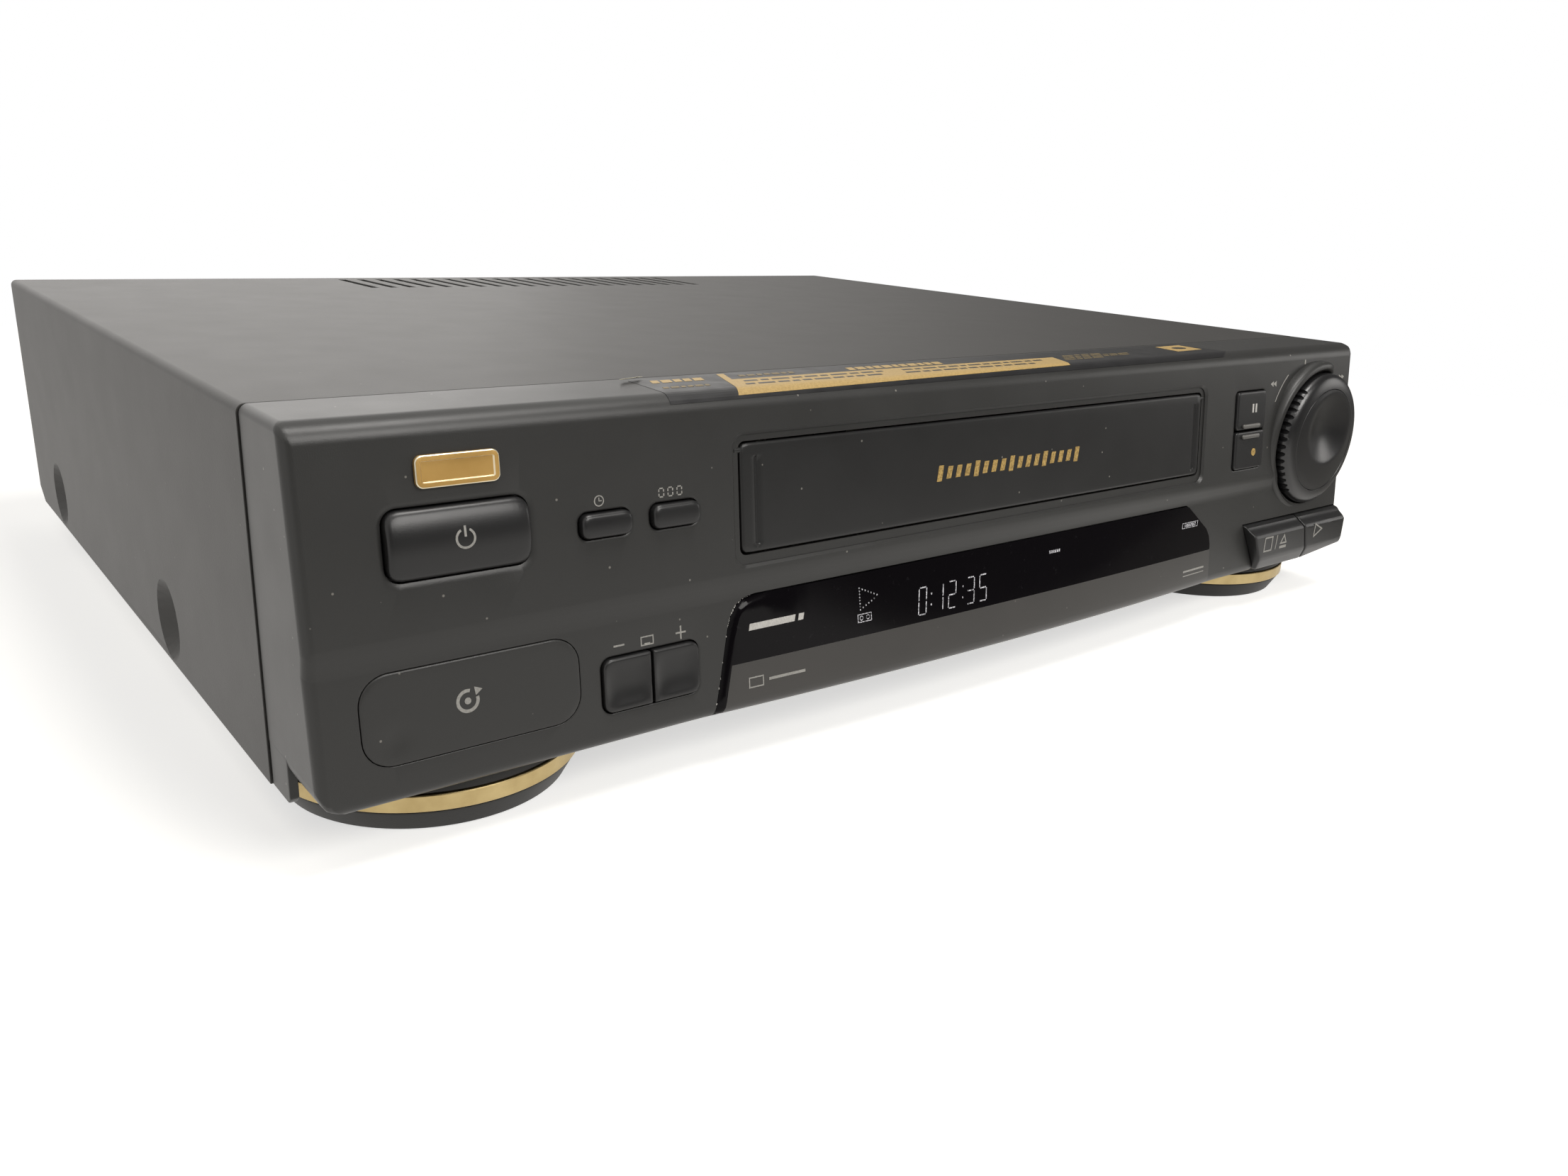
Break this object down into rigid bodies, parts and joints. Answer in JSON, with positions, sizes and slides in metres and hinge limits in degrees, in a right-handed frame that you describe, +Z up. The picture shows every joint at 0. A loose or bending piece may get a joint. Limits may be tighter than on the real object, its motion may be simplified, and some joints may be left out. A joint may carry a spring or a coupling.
{
  "type": "video cassette recorder",
  "caption": "Front-loading home video cassette recorder with a folded steel cover, moulded front with door, keys and jog dial, large disc feet and a working tape mechanism inside.",
  "frame": {"origin": "middle of the recorder's footprint, on the surface it stands on", "axes": "+X to the right seen from the front, +Y to the rear, +Z up; the front faces -Y"},
  "size_m": [0.4, 0.338, 0.094],
  "materials": {
    "cover_paint": "fine-textured charcoal paint on folded steel sheet",
    "front_plastic": "satin dark grey moulding",
    "key_plastic": "satin dark grey moulding, a little smoother than the front",
    "smoked_panel": "glossy smoked panel",
    "tube_glass": "dark glass tube, modelled solid",
    "gold_trim": "satin gold ring",
    "zinc_steel": "zinc-plated steel",
    "screen_can": "bright screening can",
    "machined_metal": "machined light metal",
    "foot_plastic": "matt black moulding",
    "black_rubber": "black rubber",
    "circuit_board": "brown laminate board with its parts in one piece",
    "socket_plastic": "black moulding",
    "white_nylon": "white nylon",
    "iron_core": "dark laminated core with its winding in one piece"
  },
  "bodies": {
    "chassis": {"top_cover": "cover_paint", "front_bezel": "front_plastic", "display_window": "smoked_panel", "display_tube": "tube_glass", "foot_ring_left": "gold_trim", "foot_ring_right": "gold_trim", "base_pan": "zinc_steel", "rear_panel": "zinc_steel", "deck_plate": "zinc_steel", "carriage_frame": "zinc_steel", "cover_screw_left_front": "zinc_steel", "cover_screw_left_rear": "zinc_steel", "cover_screw_right_front": "zinc_steel", "cover_screw_right_rear": "zinc_steel", "rf_unit": "screen_can", "dial_encoder": "screen_can", "lower_drum": "machined_metal", "erase_head": "machined_metal", "sound_head": "machined_metal", "loading_motor": "machined_metal", "front_foot_left": "foot_plastic", "front_foot_right": "foot_plastic", "rear_foot_left": "foot_plastic", "rear_foot_right": "foot_plastic", "drive_belt": "black_rubber", "front_board": "circuit_board", "main_board": "circuit_board", "power_board": "circuit_board", "av_socket_lower": "socket_plastic", "av_socket_upper": "socket_plastic", "mains_inlet": "socket_plastic", "transformer": "iron_core"},
    "cassette_door": {"cassette_door": "front_plastic"},
    "operate_button": {"operate_button": "key_plastic"},
    "timer_button": {"timer_button": "key_plastic"},
    "counter_reset_button": {"counter_reset_button": "key_plastic"},
    "auto_set_button": {"auto_set_button": "key_plastic"},
    "program_down_button": {"program_down_button": "key_plastic"},
    "program_up_button": {"program_up_button": "key_plastic"},
    "pause_button": {"pause_button": "key_plastic"},
    "record_button": {"record_button": "key_plastic"},
    "stop_eject_button": {"stop_eject_button": "key_plastic"},
    "play_button": {"play_button": "key_plastic"},
    "shuttle_ring": {"shuttle_ring": "key_plastic"},
    "jog_dial": {"jog_dial": "key_plastic"},
    "upper_drum": {"upper_drum": "machined_metal"},
    "capstan": {"capstan": "machined_metal"},
    "reel_clutch": {"reel_clutch": "white_nylon"},
    "idler_arm": {"idler_arm": "zinc_steel"},
    "idler_wheel": {"idler_wheel": "black_rubber"},
    "supply_reel": {"supply_reel": "white_nylon"},
    "take_up_reel": {"take_up_reel": "white_nylon"},
    "supply_loading_arm": {"supply_loading_arm": "machined_metal"},
    "take_up_loading_arm": {"take_up_loading_arm": "machined_metal"},
    "cam_gear": {"cam_gear": "white_nylon"},
    "pinch_arm": {"pinch_arm": "zinc_steel"},
    "pinch_roller": {"pinch_roller": "black_rubber"},
    "tension_arm": {"tension_arm": "zinc_steel"},
    "carriage_slide": {"carriage_slide": "zinc_steel"},
    "cassette_basket": {"cassette_basket": "zinc_steel"}
  },
  "joints": [
    {"name": "door_swing", "type": "hinge", "parent": "chassis", "child": "cassette_door", "pos_m": [0.004, -0.1588, 0.07947], "axis": [1, 0, 0], "range_deg": [0, 88], "stiffness_Nm_per_rad": 0.004, "springref_deg": -17.19},
    {"name": "operate_press", "type": "slide", "parent": "chassis", "child": "operate_button", "axis": [0, 0.9945, -0.1045], "range_m": [0, 0.001], "stiffness_N_per_m": 700, "springref_m": -0.0003},
    {"name": "timer_press", "type": "slide", "parent": "chassis", "child": "timer_button", "axis": [0, 0.9945, -0.1045], "range_m": [0, 0.001], "stiffness_N_per_m": 700, "springref_m": -0.0003},
    {"name": "counter_reset_press", "type": "slide", "parent": "chassis", "child": "counter_reset_button", "axis": [0, 0.9945, -0.1045], "range_m": [0, 0.001], "stiffness_N_per_m": 700, "springref_m": -0.0003},
    {"name": "auto_set_press", "type": "slide", "parent": "chassis", "child": "auto_set_button", "axis": [0, 0.9945, -0.1045], "range_m": [0, 0.001], "stiffness_N_per_m": 700, "springref_m": -0.0003},
    {"name": "program_down_press", "type": "slide", "parent": "chassis", "child": "program_down_button", "axis": [0, 0.9945, -0.1045], "range_m": [0, 0.001], "stiffness_N_per_m": 700, "springref_m": -0.0003},
    {"name": "program_up_press", "type": "slide", "parent": "chassis", "child": "program_up_button", "axis": [0, 0.9945, -0.1045], "range_m": [0, 0.001], "stiffness_N_per_m": 700, "springref_m": -0.0003},
    {"name": "pause_press", "type": "slide", "parent": "chassis", "child": "pause_button", "axis": [0, 0.9945, -0.1045], "range_m": [0, 0.001], "stiffness_N_per_m": 700, "springref_m": -0.0003},
    {"name": "record_press", "type": "slide", "parent": "chassis", "child": "record_button", "axis": [0, 0.9945, -0.1045], "range_m": [0, 0.001], "stiffness_N_per_m": 700, "springref_m": -0.0003},
    {"name": "stop_eject_press", "type": "slide", "parent": "chassis", "child": "stop_eject_button", "axis": [0, 1, 0], "range_m": [0, 0.001], "stiffness_N_per_m": 700, "springref_m": -0.0003},
    {"name": "play_press", "type": "slide", "parent": "chassis", "child": "play_button", "axis": [0, 1, 0], "range_m": [0, 0.001], "stiffness_N_per_m": 700, "springref_m": -0.0003},
    {"name": "shuttle_turn", "type": "hinge", "parent": "chassis", "child": "shuttle_ring", "pos_m": [0.1736, -0.16, 0.0604], "axis": [0, 1, 0], "range_deg": [-70, 70], "stiffness_Nm_per_rad": 0.012},
    {"name": "jog_turn", "type": "hinge", "parent": "chassis", "child": "jog_dial", "pos_m": [0.1736, -0.16, 0.0604], "axis": [0, 1, 0], "continuous": true},
    {"name": "drum_spin", "type": "hinge", "parent": "chassis", "child": "upper_drum", "pos_m": [0.004, 0.052, 0.0303], "axis": [-0.0872, 0, 0.9962], "continuous": true},
    {"name": "capstan_spin", "type": "hinge", "parent": "chassis", "child": "capstan", "pos_m": [0.053, 0.014, 0.0163], "axis": [0, 0, 1], "continuous": true},
    {"name": "clutch_spin", "type": "hinge", "parent": "chassis", "child": "reel_clutch", "pos_m": [0.004, -0.022, 0.0163], "axis": [0, 0, 1], "continuous": true},
    {"name": "idler_swing", "type": "hinge", "parent": "chassis", "child": "idler_arm", "pos_m": [0.004, -0.022, 0.0279], "axis": [0, 0, 1], "range_deg": [-48, 48]},
    {"name": "idler_spin", "type": "hinge", "parent": "idler_arm", "child": "idler_wheel", "pos_m": [0.004, -0.048, 0.031], "axis": [0, 0, 1], "continuous": true},
    {"name": "supply_reel_spin", "type": "hinge", "parent": "chassis", "child": "supply_reel", "pos_m": [-0.042, -0.046, 0.0282], "axis": [0, 0, 1], "continuous": true},
    {"name": "take_up_reel_spin", "type": "hinge", "parent": "chassis", "child": "take_up_reel", "pos_m": [0.05, -0.046, 0.0282], "axis": [0, 0, 1], "continuous": true},
    {"name": "cam_turn", "type": "hinge", "parent": "chassis", "child": "cam_gear", "pos_m": [-0.036, 0.0412, 0.0163], "axis": [0, 0, 1], "range_deg": [0, 49.5]},
    {"name": "supply_arm_swing", "type": "hinge", "parent": "chassis", "child": "supply_loading_arm", "pos_m": [-0.006, 0.0412, 0.0163], "axis": [0, 0, 1], "range_deg": [-99, 0]},
    {"name": "take_up_arm_swing", "type": "hinge", "parent": "chassis", "child": "take_up_loading_arm", "pos_m": [0.014, 0.0412, 0.0163], "axis": [0, 0, 1], "range_deg": [0, 99]},
    {"name": "pinch_swing", "type": "hinge", "parent": "chassis", "child": "pinch_arm", "pos_m": [0.076, 0.012, 0.0316], "axis": [0, 0, -1], "range_deg": [0, 51.5], "stiffness_Nm_per_rad": 0.01},
    {"name": "pinch_roller_spin", "type": "hinge", "parent": "pinch_arm", "child": "pinch_roller", "pos_m": [0.06937, -0.00602, 0.0349], "axis": [0, 0, 1], "continuous": true},
    {"name": "tension_swing", "type": "hinge", "parent": "chassis", "child": "tension_arm", "pos_m": [-0.07, -0.018, 0.0316], "axis": [0, 0, 1], "range_deg": [-15, 15], "stiffness_Nm_per_rad": 0.03},
    {"name": "carriage_travel", "type": "slide", "parent": "chassis", "child": "carriage_slide", "axis": [0, 1, 0], "range_m": [0, 0.066]},
    {"name": "basket_drop", "type": "slide", "parent": "carriage_slide", "child": "cassette_basket", "axis": [0, 0, -1], "range_m": [0, 0.0205]}
  ],
  "couplings": [
    {"joint": "clutch_spin", "follows": "capstan_spin", "ratio": 1.8333},
    {"joint": "idler_spin", "follows": "capstan_spin", "ratio": -2.8233},
    {"joint": "supply_arm_swing", "follows": "cam_turn", "ratio": -2},
    {"joint": "take_up_arm_swing", "follows": "cam_turn", "ratio": 2}
  ]
}
